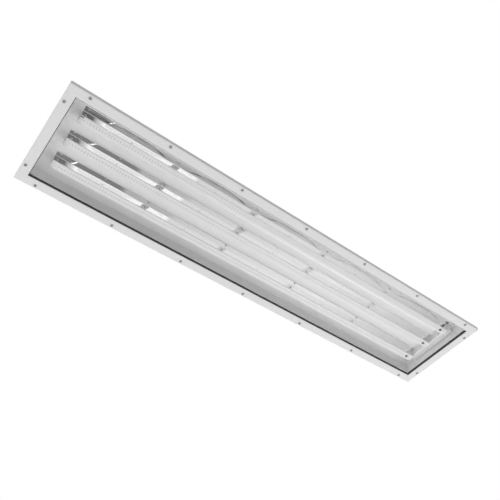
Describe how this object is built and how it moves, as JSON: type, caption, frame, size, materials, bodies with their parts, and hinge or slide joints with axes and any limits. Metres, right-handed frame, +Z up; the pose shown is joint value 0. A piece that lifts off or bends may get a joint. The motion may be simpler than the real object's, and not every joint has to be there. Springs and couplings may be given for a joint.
{
  "type": "led high bay light",
  "caption": "Flat rectangular high bay light: rows of led boards on mirrored carriers behind clear glass in a screwed frame, with a driver channel and slotted hanging straps.",
  "frame": {"origin": "middle of the ceiling plane, between the slots of the two hanging straps", "axes": "+X along the light towards the wire cover end, +Y across it, +Z up to the ceiling; the light shines down along -Z"},
  "size_m": [1.55, 0.34, 0.1224],
  "materials": {
    "black_plastic": "moulded",
    "black_rubber": "matt extruded rubber",
    "board_white": "white solder mask",
    "clear_glass": "clear toughened",
    "driver_case": "satin",
    "foam": "closed-cell foam",
    "frame_paint": "smooth white powder coat",
    "grey_plastic": "moulded",
    "housing_paint": "smooth white powder coat",
    "led_package": "unlit led packages",
    "mirror_sheet": "mirror finished",
    "screw_steel": "dark zinc plated",
    "spacer_steel": "zinc plated",
    "white_wire": "extruded insulation",
    "zinc_steel": "zinc plated"
  },
  "bodies": {
    "root": {"cable_gland": "black_plastic", "carrier_rivets": "spacer_steel", "carrier_screws": "screw_steel", "channel_gasket": "foam", "channel_screws": "zinc_steel", "door_frame": "frame_paint", "driver_channel": "housing_paint", "driver_screws": "zinc_steel", "earth_nut": "zinc_steel", "earth_stud": "zinc_steel", "end_plate_left": "housing_paint", "end_plate_right": "housing_paint", "end_plate_screws": "zinc_steel", "frame_screws": "screw_steel", "frame_spacers": "spacer_steel", "gland_locknut": "black_plastic", "gland_nut": "black_plastic", "gland_seal": "black_rubber", "hanging_strap_1": "zinc_steel", "hanging_strap_2": "zinc_steel", "housing": "housing_paint", "lead_caps": "black_plastic", "led_board_1_1": "board_white", "led_board_1_2": "board_white", "led_board_1_3": "board_white", "led_board_1_4": "board_white", "led_board_1_5": "board_white", "led_board_2_1": "board_white", "led_board_2_2": "board_white", "led_board_2_3": "board_white", "led_board_2_4": "board_white", "led_board_2_5": "board_white", "led_board_3_1": "board_white", "led_board_3_2": "board_white", "led_board_3_3": "board_white", "led_board_3_4": "board_white", "led_board_3_5": "board_white", "led_carrier_1": "mirror_sheet", "led_carrier_2": "mirror_sheet", "led_carrier_3": "mirror_sheet", "led_chips_1": "led_package", "led_chips_2": "led_package", "led_chips_3": "led_package", "led_driver_1": "driver_case", "led_driver_2": "driver_case", "led_driver_3": "driver_case", "led_wires_1": "white_wire", "led_wires_2": "white_wire", "led_wires_3": "white_wire", "lens_glass": "clear_glass", "lens_seal": "black_rubber", "passage_grommet": "black_rubber", "strap_bolts": "zinc_steel", "strap_nuts": "zinc_steel", "supply_wires": "white_wire", "terminal_block": "grey_plastic", "wire_cover": "housing_paint", "wire_cover_screws": "zinc_steel"}
  },
  "joints": []
}
